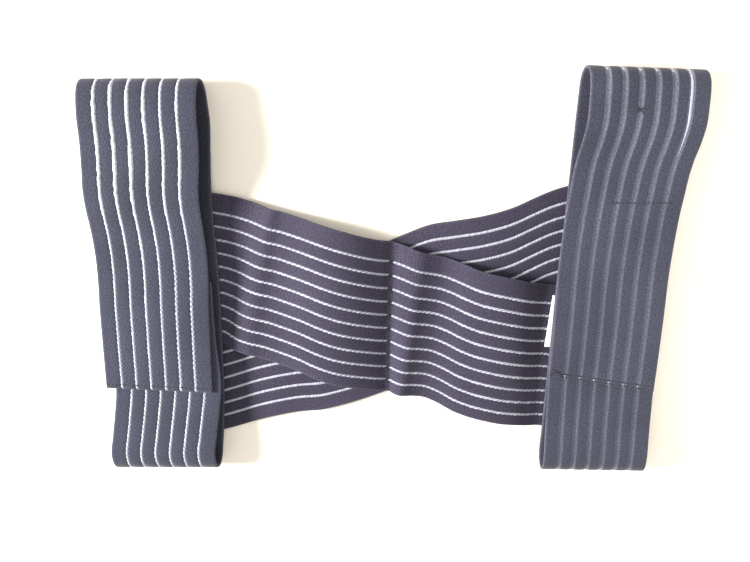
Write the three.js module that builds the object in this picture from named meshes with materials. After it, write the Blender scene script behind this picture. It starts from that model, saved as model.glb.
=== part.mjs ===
// A posture corrector of striped elastic webbing, lying flat: two arm loops and two bands that cross.
// Millimetres. +X runs from the left loop to the right one, +Y towards the loops' top folds, +Z up.
// The origin is on the surface that it lies on, under the middle of the part.
import * as THREE from "three";

// Webbing sizes
const WEBBING = 1.5; // thickness of the elastic webbing
const GAP = 0.3; // clearance between two layers that lie on each other
const LAYER = WEBBING + GAP; // from the middle of one layer to the middle of the next
const STRAP = { width: 74, stripes: 6, spacing: 10.2, firstStripe: 11.3 }; // narrow webbing of the loops
const BAND = { width: 105, stripes: 10, spacing: 9.2 }; // wide webbing, whose two margins differ
const OVER_WEBBING = { ...BAND, firstStripe: 8.75 }; // from the band's lower edge
const UNDER_WEBBING = { ...BAND, firstStripe: 11.2 };
const GROOVE = { width: 2.6, depth: 0.4 }; // a stripe lies in a shallow groove between two ribs
const FOLD_STEPS = 8; // sections round each half-turn of a loop
const BAND_STEP = 13; // distance between the sections of a crossing band

// Heights of the layers' middles where they lie stacked at the loops
const UNDER_BAND = WEBBING / 2;
const OVER_BAND = UNDER_BAND + LAYER;
const BACK_LAYER = OVER_BAND + LAYER + 0.1; // a loop's back layer, just clear of the over band's end

// The label: a plain cloth tab sewn in between the over band's right end and the right loop
const LABEL = { width: 16, length: 37.5, thickness: 1, corner: 1, x: 120.2, y: -28.3, turn: -5 };
const LABEL_BASE = OVER_BAND + WEBBING / 2 + GAP;
const BACK_OVER_LABEL = LABEL_BASE + LABEL.thickness + GAP + WEBBING / 2;

// Each loop is one strap. Its lap starts at the hidden end and runs down to the bottom fold, its back layer
// runs up under the hollow, and its front layer runs down from the top fold to the cut end, over the lap.
// x, y and z place the middle of a section, and slant is how much further along Y its right end lies
// than its left one.
const LEFT_LOOP = {
  lap: [
    { x: -154.8, y: 2, z: 10.7 },
    { x: -154.4, y: -38, z: 10.7 },
    { x: -152.9, y: -78, z: 10.9 },
    { x: -155.2, y: -95, z: 12.0 },
    { x: -157.3, y: -110, z: 14.0 },
  ],
  bottomFold: { y: -126, reach: -11.2, low: UNDER_BAND, high: 15.4, xLow: -156.8, xHigh: -159.2, slant: 0 },
  back: [
    { x: -155.6, y: -118.5, z: 2.7 },
    { x: -152.9, y: -84, z: 2.9 },
    { x: -151.8, y: -54, z: BACK_LAYER },
    { x: -151.1, y: 5, z: BACK_LAYER },
    { x: -152.3, y: 64, z: BACK_LAYER },
    { x: -151.8, y: 88, z: 2.4 },
    { x: -151.3, y: 107, z: 1.0 },
  ],
  topFold: { y: 121, reach: 11.2, low: UNDER_BAND, high: 18.6, xLow: -152.4, xHigh: -154.6, slant: 0 },
  front: [
    { x: -155.0, y: 110, z: 19.5 },
    { x: -154.5, y: 95, z: 20.3 },
    { x: -155.5, y: 78, z: 19.6 },
    { x: -157.7, y: 63, z: 16.4 },
    { x: -158.3, y: 50, z: 13.2 },
    { x: -157.4, y: 39, z: 12.1 },
    { x: -156.2, y: 22, z: 12.0 },
    { x: -156.0, y: 5, z: 12.6 },
    { x: -157.0, y: -15, z: 12.6 },
    { x: -157.7, y: -40, z: 12.6, slant: -1.5 },
    { x: -158.5, y: -75.5, z: 12.7, slant: -3.8 },
  ],
};
const RIGHT_LOOP = {
  lap: [
    { x: 153.4, y: 57, z: 12.0 },
    { x: 151.2, y: 20, z: 12.0 },
    { x: 149.8, y: -20, z: 12.0 },
    { x: 149.6, y: -60, z: 12.0 },
    { x: 149.9, y: -85, z: 12.2 },
    { x: 149.6, y: -106, z: 13.8 },
  ],
  bottomFold: { y: -128.2, reach: -11.2, low: UNDER_BAND, high: 15.4, xLow: 150, xHigh: 149.5, slant: -1.4 },
  back: [
    { x: 149.4, y: -115.5, z: BACK_LAYER },
    { x: 150.8, y: -52, z: BACK_OVER_LABEL },
    { x: 152.5, y: -4, z: BACK_OVER_LABEL },
    { x: 153.9, y: 20, z: 4.2 },
    { x: 156.3, y: 72, z: 2.7 },
    { x: 157.7, y: 100, z: 1.1 },
  ],
  topFold: { y: 127.5, reach: 11.2, low: UNDER_BAND, high: 18.6, xLow: 158.9, xHigh: 160.2, slant: -2.7 },
  front: [
    { x: 160.2, y: 118, z: 19.3, slant: -2.3 },
    { x: 159.8, y: 106, z: 19.8, slant: -2 },
    { x: 157.7, y: 94, z: 19.4, slant: -1.4 },
    { x: 155.4, y: 84, z: 18.4, slant: -0.8 },
    { x: 154.2, y: 74, z: 16.8 },
    { x: 153.6, y: 62, z: 15.0 },
    { x: 152.6, y: 50, z: 14.1 },
    { x: 151.3, y: 32, z: 13.9 },
    { x: 150.2, y: 8, z: 13.9 },
    { x: 150.1, y: -20, z: 13.9, slant: -2 },
    { x: 149.8, y: -45, z: 13.9, slant: -6 },
    { x: 149.2, y: -70, z: 13.9, slant: -12 },
  ],
};

// The crossing bands, in sections: x and z of the middle, the y of each edge, and the lean, which is how much
// further along X the upper edge lies than the lower one. Both bands are sewn flat together at the seam, and
// the slack webbing stands up in low waves beside it.
const SEAM_X = 2;
const CROSS_BAND_OVER = [
  { x: -136, lean: 0, upper: 63.5, lower: -39.5, z: OVER_BAND },
  { x: -106, lean: 18, upper: 57.5, lower: -44.0, z: OVER_BAND },
  { x: -100, lean: 23, upper: 55.0, lower: -46.0, z: 3.1 },
  { x: -94, lean: 25, upper: 52.5, lower: -49.0, z: 4.7 },
  { x: -87.5, lean: 22, upper: 50.5, lower: -51.5, z: 6.2 },
  { x: -79.5, lean: 19, upper: 49.0, lower: -54.0, z: 5.6 },
  { x: -68, lean: 16.5, upper: 46.0, lower: -58.0, z: 6.8 },
  { x: -55.5, lean: 14.5, upper: 42.5, lower: -62.0, z: 10.0 },
  { x: -44.5, lean: 12.5, upper: 39.5, lower: -67.0, z: 12.3 },
  { x: -33, lean: 10.5, upper: 36.5, lower: -71.5, z: 13.0 },
  { x: -22, lean: 8.5, upper: 33.5, lower: -74.5, z: 11.4 },
  { x: -12, lean: 5.5, upper: 31.0, lower: -77.0, z: 8.2 },
  { x: -5, lean: 3.5, upper: 29.5, lower: -79.0, z: 5.2 },
  { x: SEAM_X, lean: 2, upper: 28.5, lower: -80.5, z: OVER_BAND },
  { x: 9, lean: 7.5, upper: 26.0, lower: -81.5, z: 6.0 },
  { x: 15.5, lean: 12, upper: 22.5, lower: -82.0, z: 8.4 },
  { x: 24.5, lean: 13.5, upper: 20.0, lower: -83.0, z: 6.0 },
  { x: 33, lean: 13, upper: 18.0, lower: -84.5, z: 4.6 },
  { x: 41.5, lean: 11.5, upper: 15.5, lower: -88.0, z: 5.8 },
  { x: 52, lean: 9.5, upper: 12.0, lower: -93.5, z: 9.0 },
  { x: 61.5, lean: 7, upper: 9.0, lower: -97.0, z: 11.0 },
  { x: 73, lean: 5.5, upper: 6.5, lower: -100.0, z: 12.0 },
  { x: 82.5, lean: 4.5, upper: 4.5, lower: -102.5, z: 11.2 },
  { x: 92, lean: 3.5, upper: 2.0, lower: -104.5, z: 8.8 },
  { x: 100.5, lean: 2, upper: 0.0, lower: -106.5, z: 5.4 },
  { x: 109, lean: 0, upper: -1.0, lower: -107.5, z: OVER_BAND },
  { x: 139, lean: 0, upper: -5.0, lower: -110.0, z: OVER_BAND },
];
const CROSS_BAND_UNDER = [
  { x: -138, lean: 0, upper: -9.0, lower: -117.0, z: UNDER_BAND },
  { x: -106, lean: 0, upper: 0.5, lower: -108.5, z: UNDER_BAND },
  { x: -96, lean: 0, upper: 4.0, lower: -105.0, z: 1.4 },
  { x: -80, lean: 0, upper: 8.0, lower: -100.5, z: 2.0 },
  { x: -62, lean: 0, upper: 10.5, lower: -97.0, z: 2.0 },
  { x: -46, lean: 0, upper: 12.0, lower: -95.5, z: 2.2 },
  { x: -34, lean: 0, upper: 15.0, lower: -92.5, z: 2.2 },
  { x: SEAM_X, lean: 0, upper: 28.5, lower: -80.5, z: UNDER_BAND },
  { x: 14, lean: 0, upper: 34.0, lower: -75.0, z: 1.3 },
  { x: 28, lean: 0, upper: 39.5, lower: -67.5, z: 2.0 },
  { x: 46, lean: 0, upper: 42.5, lower: -64.0, z: 2.5 },
  { x: 66, lean: 0, upper: 46.0, lower: -61.5, z: 2.9 },
  { x: 86, lean: 0, upper: 52.0, lower: -57.0, z: 2.2 },
  { x: 98, lean: 0, upper: 57.5, lower: -51.0, z: 1.4 },
  { x: 110, lean: 0, upper: 62.5, lower: -44.5, z: UNDER_BAND },
  { x: 142, lean: 0, upper: 70.0, lower: -37.0, z: UNDER_BAND },
];

const COLOURS = { strap: 0x55545f, overBand: 0x504e5a, underBand: 0x4c4a56, label: 0xf4f3f0 };

// One face of the webbing across its width: flat ribs with a V groove at each stripe.
function ribbedFace({ width, stripes, spacing, firstStripe }, side) {
  const face = [{ at: 0, lift: (side * WEBBING) / 2 }];
  for (let stripe = 0; stripe < stripes; stripe++) {
    const at = firstStripe + stripe * spacing;
    face.push({ at: at - GROOVE.width / 2, lift: (side * WEBBING) / 2 });
    face.push({ at, lift: side * (WEBBING / 2 - GROOVE.depth) });
    face.push({ at: at + GROOVE.width / 2, lift: (side * WEBBING) / 2 });
  }
  face.push({ at: width, lift: (side * WEBBING) / 2 });
  return face;
}

// The whole outline of the webbing's section, counter-clockwise as seen along the webbing's run.
function sectionOutline(webbing, ribsBelow) {
  const below = ribbedFace({ ...webbing, stripes: ribsBelow ? webbing.stripes : 0 }, -1);
  const above = ribbedFace(webbing, 1);
  return [...below, ...above.reverse()];
}

// A closed strip of webbing through sections, each a centre and a vector across its whole width.
function stripOfWebbing(sections, webbing, ribsBelow) {
  const outline = sectionOutline(webbing, ribsBelow);
  const rim = outline.length;
  const positions = [];
  sections.forEach(({ centre, across }, index) => {
    const before = sections[Math.max(index - 1, 0)].centre;
    const after = sections[Math.min(index + 1, sections.length - 1)].centre;
    const run = after.clone().sub(before);
    const outward = run.cross(across).normalize();
    for (const { at, lift } of outline) {
      const point = centre.clone();
      point.addScaledVector(across, at / webbing.width - 0.5);
      point.addScaledVector(outward, lift);
      positions.push(point.x, point.y, point.z);
    }
  });

  const faces = [];
  for (let ring = 0; ring < sections.length - 1; ring++) {
    for (let spot = 0; spot < rim; spot++) {
      const a = ring * rim + spot;
      const b = ring * rim + ((spot + 1) % rim);
      faces.push(a, b, b + rim, a, b + rim, a + rim);
    }
  }
  const flatOutline = outline.map(({ at, lift }) => new THREE.Vector2(at, lift));
  const lastRing = (sections.length - 1) * rim;
  for (const [a, b, c] of THREE.ShapeUtils.triangulateShape(flatOutline, [])) {
    faces.push(c, b, a);
    faces.push(lastRing + a, lastRing + b, lastRing + c);
  }
  const geometry = new THREE.BufferGeometry();
  geometry.setAttribute("position", new THREE.Float32BufferAttribute(positions, 3));
  geometry.setIndex(faces);
  geometry.computeVertexNormals();
  return geometry;
}

// The rows of a loop's half-turn, from its start height to its end height, on half an ellipse.
function foldRows({ y, reach, low, high, xLow, xHigh, slant }, goingUp) {
  const rows = [];
  for (let step = 0; step <= FOLD_STEPS; step++) {
    const share = goingUp ? step / FOLD_STEPS : 1 - step / FOLD_STEPS;
    const angle = (share - 0.5) * Math.PI;
    rows.push({
      x: THREE.MathUtils.lerp(xLow, xHigh, share),
      y: y + reach * Math.cos(angle),
      z: (low + high) / 2 + ((high - low) / 2) * Math.sin(angle),
      slant,
    });
  }
  return rows;
}

// A strap's sections lie along X, apart from where a fold or a cut end slants.
function loopSections({ lap, bottomFold, back, topFold, front }) {
  const rows = [...lap, ...foldRows(bottomFold, false), ...back, ...foldRows(topFold, true), ...front];
  return rows.map(({ x, y, z, slant = 0 }) => ({
    centre: new THREE.Vector3(x, y, z),
    across: new THREE.Vector3(STRAP.width, slant, 0),
  }));
}

// A band's sections follow a smooth curve through its table, and never dip below its lowest row.
function bandSections(table) {
  const places = table.map(({ x }) => x);
  const columns = table.flatMap(({ lean, upper, lower, z }) => [lean, upper, lower, z]);
  const curve = new THREE.CubicInterpolant(places, columns, 4);
  const lowest = Math.min(...table.map(({ z }) => z));
  const first = places[0];
  const last = places[places.length - 1];
  const steps = Math.round((last - first) / BAND_STEP);
  const stations = new Set(places);
  for (let step = 1; step < steps; step++) {
    const x = THREE.MathUtils.lerp(first, last, step / steps);
    if (places.every((place) => Math.abs(place - x) > BAND_STEP / 2)) stations.add(x);
  }
  return [...stations].sort((a, b) => a - b).map((x) => {
    const [lean, upper, lower, z] = curve.evaluate(x);
    return {
      centre: new THREE.Vector3(x, (upper + lower) / 2, Math.max(z, lowest)),
      across: new THREE.Vector3(lean, upper - lower, 0),
    };
  });
}

// A flat tab with round corners.
function labelGeometry({ width, length, thickness, corner }) {
  const side = width / 2 - corner;
  const end = length / 2 - corner;
  const outline = new THREE.Shape();
  outline.absarc(side, end, corner, 0, Math.PI / 2);
  outline.absarc(-side, end, corner, Math.PI / 2, Math.PI);
  outline.absarc(-side, -end, corner, Math.PI, 1.5 * Math.PI);
  outline.absarc(side, -end, corner, 1.5 * Math.PI, 2 * Math.PI);
  return new THREE.ExtrudeGeometry(outline, { depth: thickness, bevelEnabled: false, curveSegments: 4 });
}

function piece(name, geometry, color) {
  const cloth = new THREE.MeshStandardMaterial({ color, roughness: 0.9, metalness: 0 });
  const mesh = new THREE.Mesh(geometry, cloth);
  mesh.name = name;
  return mesh;
}

const leftLoop = stripOfWebbing(loopSections(LEFT_LOOP), STRAP, false);
const rightLoop = stripOfWebbing(loopSections(RIGHT_LOOP), STRAP, false);
const overBand = stripOfWebbing(bandSections(CROSS_BAND_OVER), OVER_WEBBING, true);
const underBand = stripOfWebbing(bandSections(CROSS_BAND_UNDER), UNDER_WEBBING, true);
const brace = new THREE.Group();
brace.add(
  piece("left_shoulder_loop", leftLoop, COLOURS.strap),
  piece("right_shoulder_loop", rightLoop, COLOURS.strap),
  piece("cross_band_over", overBand, COLOURS.overBand),
  piece("cross_band_under", underBand, COLOURS.underBand),
);

const label = piece("label", labelGeometry(LABEL), COLOURS.label);
label.position.set(LABEL.x, LABEL.y, LABEL_BASE);
label.rotation.z = THREE.MathUtils.degToRad(LABEL.turn);
brace.add(label);

export default brace;
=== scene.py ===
# %% [markdown]
# # A posture corrector of striped elastic webbing
# The brace lies flat, as it comes out of its bag. Two narrow straps are folded into flat arm loops, and
# two wide bands join the loops and cross behind the wearer's back. Everything is cloth, so this lesson is
# about webbing: how a strip runs through space, how ribs, yarn and stitches sit on it, and what woven
# elastic looks like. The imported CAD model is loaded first, because every piece goes where its solid lies,
# in metres.

# %% Load the frame
import math

import bpy
import numpy as np
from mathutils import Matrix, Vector


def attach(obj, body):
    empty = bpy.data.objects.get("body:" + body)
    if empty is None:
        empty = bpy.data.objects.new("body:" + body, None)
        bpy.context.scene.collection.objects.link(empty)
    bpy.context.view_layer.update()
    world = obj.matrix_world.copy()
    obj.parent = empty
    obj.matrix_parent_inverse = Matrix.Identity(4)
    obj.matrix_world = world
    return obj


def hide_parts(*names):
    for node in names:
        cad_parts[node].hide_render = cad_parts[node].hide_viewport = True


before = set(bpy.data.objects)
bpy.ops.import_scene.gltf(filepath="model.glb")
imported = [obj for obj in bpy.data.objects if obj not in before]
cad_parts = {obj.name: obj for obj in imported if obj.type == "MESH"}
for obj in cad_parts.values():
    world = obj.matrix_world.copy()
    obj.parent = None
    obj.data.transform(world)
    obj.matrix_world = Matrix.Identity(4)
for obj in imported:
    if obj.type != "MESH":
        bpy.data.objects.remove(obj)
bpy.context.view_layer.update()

MM = 0.001  # the tables below are in millimetres, and Blender's scene is in metres
SEED = 7  # one fixed seed for everything that varies by chance
print("solids of the frame:", ", ".join(sorted(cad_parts)))

# %% [markdown]
# ## The camera
# The picture was taken by hand from above. A pinhole camera was fitted to the webbing's edges: it stands
# 0.43 m over the floor, nearer to the top folds, and looks 15 degrees back towards the bottom ones. An
# Empty to track would do the same, but a place, a lean and a lens say it in three lines.

# %% Camera
CAMERA_PLACE = (-8.0, 115.7, 431.8)
CAMERA_LEAN = -15.0  # degrees from straight down, towards the bottom folds
CAMERA_LENS = 31.2  # for a sensor 36 mm wide
CAMERA_NEAR = 10.0  # nothing nearer than this is drawn

camera = bpy.data.objects.new("camera", bpy.data.cameras.new("camera"))
camera.data.lens = CAMERA_LENS
camera.data.clip_start = CAMERA_NEAR * MM
camera.location = [value * MM for value in CAMERA_PLACE]
camera.rotation_euler = (math.radians(CAMERA_LEAN), 0.0, 0.0)
bpy.context.scene.collection.objects.link(camera)
bpy.context.scene.camera = camera
print("camera", CAMERA_PLACE[2], "mm up")

# %% [markdown]
# ## Two kinds of webbing
# The loops are cut from narrow elastic with six stripes, and the bands from wide elastic with ten.
# Between the stripes the cloth swells into ribs. The numbers are those of the CAD model: the width, the
# number of stripes, the distance from one to the next, and where the first one lies from the strip's left
# or lower edge. The two margins of the wide elastic differ, and the under band lies the other way round
# than the over band.

# %% Webbing sizes
THICKNESS = 1.5
ON_FLOOR = THICKNESS / 2  # height of the middle of webbing that lies on the floor
STRAP = {"width": 74.0, "thickness": THICKNESS, "stripes": 6, "spacing": 10.2, "first": 11.3}
OVER_BAND = {"width": 105.0, "thickness": THICKNESS, "stripes": 10, "spacing": 9.2, "first": 8.75}
UNDER_BAND = {**OVER_BAND, "first": 11.2}


def stripe_places(webbing):
    """How far each stripe lies from the strip's first edge."""
    return webbing["first"] + webbing["spacing"] * np.arange(webbing["stripes"])


print("stripes of the strap at", stripe_places(STRAP))

# %% [markdown]
# ## A smooth curve through a table
# A strip of cloth has no corners along its run, so each strip follows a smooth curve through a short
# table. A Bezier curve object could carry it, but cloth that lies in waves needs its edges and its height
# at known places. A cubic between each two rows, with the slope at a row taken from both neighbours,
# gives that.

# %% Smooth curve
def smooth_through(places, rows, stations):
    """The values at the stations of a smooth curve that passes through each row at its place."""
    steps = np.diff(places)
    slopes = np.diff(rows, axis=0) / steps[:, None]
    weight = (steps[:-1] / (steps[:-1] + steps[1:]))[:, None]
    middle = (1 - weight) * slopes[:-1] + weight * slopes[1:]
    tangents = np.concatenate([slopes[:1], middle, slopes[-1:]])
    span = np.clip(np.searchsorted(places, stations, side="right") - 1, 0, len(steps) - 1)
    reach = steps[span][:, None]
    share = (stations - places[span])[:, None] / reach
    start = (1 + 2 * share) * rows[span] + share * reach * tangents[span]
    end = (3 - 2 * share) * rows[span + 1] + (share - 1) * reach * tangents[span + 1]
    return (1 - share) ** 2 * start + share**2 * end


STATION_STEP = 2.5  # distance between the sections of a strip


def stations_along(length):
    """Evenly spaced distances from 0 to the length."""
    return np.linspace(0.0, length, round(length / STATION_STEP) + 1)


print("a section every", STATION_STEP, "mm")

# %% [markdown]
# ## A strip in space
# A strip is known by its middle line, the vector across it and the side that faces outward. With these
# three, any spot of the cloth is found from two distances, along and across, and from its lift above the
# middle layer. Ribs, yarn and stitches all use this, so nothing has to be fitted to the cloth afterwards.

# %% Strip
class Strip:
    """A strip of webbing: stations in millimetres, each with a centre, an across and an outward vector."""

    def __init__(self, webbing, stations, centres, acrosses):
        run = np.gradient(centres, axis=0)
        outwards = np.cross(run, acrosses)
        self.webbing = webbing
        self.stations = stations
        self.centres = centres
        self.acrosses = acrosses
        self.outwards = outwards / np.linalg.norm(outwards, axis=1)[:, None]

    def spot(self, along, across, lift):
        """Places on the strip and the outward direction there."""
        along, across = np.broadcast_arrays(along, across)

        def between(table):
            return np.column_stack([np.interp(along, self.stations, column) for column in table.T])

        outward = between(self.outwards)
        share = (across / self.webbing["width"] - 0.5)[:, None]
        return between(self.centres) + share * between(self.acrosses) + lift * outward, outward


# %% [markdown]
# ## The arm loops' paths
# Each loop is one strap. It starts at its hidden end, runs down as the lap, turns under at the bottom
# fold, comes back up as the back layer, turns over at the top fold and runs down as the front layer to
# its cut end. The loops stay a little open, most of all at the folds, which are half ellipses. The rows
# are the CAD model's.

# %% Loop tables
# x, y and z of the strap's middle, and its slant: how much further along Y its right edge lies than its left
LEFT_LAP = [
    (-154.8, 2.0, 10.7, 0.0),
    (-154.4, -38.0, 10.7, 0.0),
    (-152.9, -78.0, 10.9, 0.0),
    (-155.2, -95.0, 12.0, 0.0),
    (-157.3, -110.0, 14.0, 0.0),
]
LEFT_BACK = [
    (-155.6, -118.5, 2.7, 0.0),
    (-152.9, -84.0, 2.9, 0.0),
    (-151.8, -54.0, 4.45, 0.0),
    (-151.1, 5.0, 4.45, 0.0),
    (-152.3, 64.0, 4.45, 0.0),
    (-151.8, 88.0, 2.4, 0.0),
    (-151.3, 107.0, 1.0, 0.0),
]
LEFT_FRONT = [
    (-155.0, 110.0, 19.5, 0.0),
    (-154.5, 95.0, 20.3, 0.0),
    (-155.5, 78.0, 19.6, 0.0),
    (-157.7, 63.0, 16.4, 0.0),
    (-158.3, 50.0, 13.2, 0.0),
    (-157.4, 39.0, 12.1, 0.0),
    (-156.2, 22.0, 12.0, 0.0),
    (-156.0, 5.0, 12.6, 0.0),
    (-157.0, -15.0, 12.6, 0.0),
    (-157.7, -40.0, 12.6, -1.5),
    (-158.5, -75.5, 12.7, -3.8),
]
RIGHT_LAP = [
    (153.4, 57.0, 12.0, 0.0),
    (151.2, 20.0, 12.0, 0.0),
    (149.8, -20.0, 12.0, 0.0),
    (149.6, -60.0, 12.0, 0.0),
    (149.9, -85.0, 12.2, 0.0),
    (149.6, -106.0, 13.8, 0.0),
]
RIGHT_BACK = [
    (149.4, -115.5, 4.45, 0.0),
    (150.8, -52.0, 5.65, 0.0),
    (152.5, -4.0, 5.65, 0.0),
    (153.9, 20.0, 4.2, 0.0),
    (156.3, 72.0, 2.7, 0.0),
    (157.7, 100.0, 1.1, 0.0),
]
RIGHT_FRONT = [
    (160.2, 118.0, 19.3, -2.3),
    (159.8, 106.0, 19.8, -2.0),
    (157.7, 94.0, 19.4, -1.4),
    (155.4, 84.0, 18.4, -0.8),
    (154.2, 74.0, 16.8, 0.0),
    (153.6, 62.0, 15.0, 0.0),
    (152.6, 50.0, 14.1, 0.0),
    (151.3, 32.0, 13.9, 0.0),
    (150.2, 8.0, 13.9, 0.0),
    (150.1, -20.0, 13.9, -2.0),
    (149.8, -45.0, 13.9, -6.0),
    (149.2, -70.0, 13.9, -12.0),
]

# y of the fold's two ends, how far it reaches past them, height below and above, x below and above, slant
FOLD_COLUMNS = ("y", "reach", "low", "high", "x_low", "x_high", "slant")
LEFT_BOTTOM = dict(zip(FOLD_COLUMNS, (-126.0, -11.2, ON_FLOOR, 15.4, -156.8, -159.2, 0.0)))
LEFT_TOP = dict(zip(FOLD_COLUMNS, (121.0, 11.2, ON_FLOOR, 18.6, -152.4, -154.6, 0.0)))
RIGHT_BOTTOM = dict(zip(FOLD_COLUMNS, (-128.2, -11.2, ON_FLOOR, 15.4, 150.0, 149.5, -1.4)))
RIGHT_TOP = dict(zip(FOLD_COLUMNS, (127.5, 11.2, ON_FLOOR, 18.6, 158.9, 160.2, -2.7)))

# %% Loop strips
FOLD_ROWS = 9  # rows round a fold


def fold_rows(fold, going_up):
    """Rows round a half turn of the strap, from one layer to the other."""
    share = np.linspace(0.0, 1.0, FOLD_ROWS) if going_up else np.linspace(1.0, 0.0, FOLD_ROWS)
    angle = (share - 0.5) * math.pi
    x = fold["x_low"] + share * (fold["x_high"] - fold["x_low"])
    y = fold["y"] + fold["reach"] * np.cos(angle)
    z = (fold["low"] + fold["high"]) / 2 + (fold["high"] - fold["low"]) / 2 * np.sin(angle)
    return np.column_stack([x, y, z, np.full(FOLD_ROWS, fold["slant"])])


def loop_strip(lap, bottom, back, top, front):
    """A strap folded into a flat loop, with the distances along it where each part starts and ends."""
    parts = {
        "lap": np.array(lap),
        "bottom": fold_rows(bottom, False),
        "back": np.array(back),
        "top": fold_rows(top, True),
        "front": np.array(front),
    }
    rows = np.concatenate(list(parts.values()))
    lengths = np.linalg.norm(np.diff(rows[:, :3], axis=0), axis=1)
    places = np.concatenate([[0.0], np.cumsum(lengths)])
    stations = stations_along(places[-1])
    x, y, z, slant = smooth_through(places, rows, stations).T
    level = np.zeros(len(stations))
    centres = np.column_stack([x, y, np.maximum(z, ON_FLOOR)])
    acrosses = np.column_stack([level + STRAP["width"], slant, level])
    strip = Strip(STRAP, stations, centres, acrosses)
    strip.parts = {}
    first = 0
    for name, part in parts.items():
        strip.parts[name] = (places[first], places[first + len(part) - 1])
        first += len(part)
    return strip


def along_at(strip, part, y):
    """The distance along a loop where its lap or its front layer, which both run down, passes this y."""
    start, end = strip.parts[part]
    inside = (strip.stations >= start) & (strip.stations <= end)
    falling = strip.centres[inside, 1][::-1]
    return np.interp(y, falling, strip.stations[inside][::-1])


left_strip = loop_strip(LEFT_LAP, LEFT_BOTTOM, LEFT_BACK, LEFT_TOP, LEFT_FRONT)
right_strip = loop_strip(RIGHT_LAP, RIGHT_BOTTOM, RIGHT_BACK, RIGHT_TOP, RIGHT_FRONT)
print("loop straps", round(left_strip.stations[-1]), "and", round(right_strip.stations[-1]), "mm long")

# %% [markdown]
# ## The crossing bands' paths
# One band runs from the left loop's upper half to the right loop's lower half, the other the opposite way
# under it. They are sewn together along one vertical seam, and the slack elastic beside it lies in waves,
# up to 13 mm high on the over band. A band's table gives both edges and the height of its middle at each
# x, and the lean of the section there, because the waves of the over band run on the slant.

# %% Band tables
SEAM_X = 2.0
ON_BAND = 2.55  # height of the over band's middle where it rests on the under band
# x of the middle, how much further along X the upper edge lies, y of both edges, height of the middle
OVER_ROWS = [
    (-136.0, 0.0, 63.5, -39.5, ON_BAND),
    (-106.0, 18.0, 57.5, -44.0, ON_BAND),
    (-100.0, 23.0, 55.0, -46.0, 3.1),
    (-94.0, 25.0, 52.5, -49.0, 4.7),
    (-87.5, 22.0, 50.5, -51.5, 6.2),
    (-79.5, 19.0, 49.0, -54.0, 5.6),
    (-68.0, 16.5, 46.0, -58.0, 6.8),
    (-55.5, 14.5, 42.5, -62.0, 10.0),
    (-44.5, 12.5, 39.5, -67.0, 12.3),
    (-33.0, 10.5, 36.5, -71.5, 13.0),
    (-22.0, 8.5, 33.5, -74.5, 11.4),
    (-12.0, 5.5, 31.0, -77.0, 8.2),
    (-5.0, 3.5, 29.5, -79.0, 5.2),
    (SEAM_X, 2.0, 28.5, -80.5, ON_BAND),
    (9.0, 7.5, 26.0, -81.5, 6.0),
    (15.5, 12.0, 22.5, -82.0, 8.4),
    (24.5, 13.5, 20.0, -83.0, 6.0),
    (33.0, 13.0, 18.0, -84.5, 4.6),
    (41.5, 11.5, 15.5, -88.0, 5.8),
    (52.0, 9.5, 12.0, -93.5, 9.0),
    (61.5, 7.0, 9.0, -97.0, 11.0),
    (73.0, 5.5, 6.5, -100.0, 12.0),
    (82.5, 4.5, 4.5, -102.5, 11.2),
    (92.0, 3.5, 2.0, -104.5, 8.8),
    (100.5, 2.0, 0.0, -106.5, 5.4),
    (109.0, 0.0, -1.0, -107.5, ON_BAND),
    (139.0, 0.0, -5.0, -110.0, ON_BAND),
]
UNDER_ROWS = [
    (-138.0, 0.0, -9.0, -117.0, ON_FLOOR),
    (-106.0, 0.0, 0.5, -108.5, ON_FLOOR),
    (-96.0, 0.0, 4.0, -105.0, 1.4),
    (-80.0, 0.0, 8.0, -100.5, 2.0),
    (-62.0, 0.0, 10.5, -97.0, 2.0),
    (-46.0, 0.0, 12.0, -95.5, 2.2),
    (-34.0, 0.0, 15.0, -92.5, 2.2),
    (SEAM_X, 0.0, 28.5, -80.5, ON_FLOOR),
    (14.0, 0.0, 34.0, -75.0, 1.3),
    (28.0, 0.0, 39.5, -67.5, 2.0),
    (46.0, 0.0, 42.5, -64.0, 2.5),
    (66.0, 0.0, 46.0, -61.5, 2.9),
    (86.0, 0.0, 52.0, -57.0, 2.2),
    (98.0, 0.0, 57.5, -51.0, 1.4),
    (110.0, 0.0, 62.5, -44.5, ON_FLOOR),
    (142.0, 0.0, 70.0, -37.0, ON_FLOOR),
]

# %% Band strips
def band_strip(webbing, table):
    """A wide band through its table, never lower than the table's lowest row."""
    rows = np.array(table)
    stations = stations_along(rows[-1, 0] - rows[0, 0])
    x, lean, upper, lower, z = smooth_through(rows[:, 0] - rows[0, 0], rows, stations).T
    lowest = rows[:, -1].min()
    centres = np.column_stack([x, (upper + lower) / 2, np.maximum(z, lowest)])
    acrosses = np.column_stack([lean, upper - lower, np.zeros(len(stations))])
    return Strip(webbing, stations, centres, acrosses)


over_strip = band_strip(OVER_BAND, OVER_ROWS)
under_strip = band_strip(UNDER_BAND, UNDER_ROWS)
print("bands", round(over_strip.stations[-1]), "and", round(under_strip.stations[-1]), "mm across")

# %% [markdown]
# ## A small tool for nodes
# Materials and Geometry Nodes are both trees of nodes. One function adds a node, sets its settings, and
# fills its inputs with a number or with a link from another node's output.

# %% Add a node
def add_node(tree, kind, inputs=None, **settings):
    """A new node in the tree with its settings. A socket given as an input is linked, a value is set."""
    node = tree.nodes.new(kind)
    for name, value in settings.items():
        setattr(node, name, value)
    for socket, value in (inputs or {}).items():
        if isinstance(value, bpy.types.NodeSocket):
            tree.links.new(value, node.inputs[socket])
        else:
            node.inputs[socket].default_value = value
    return node


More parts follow.
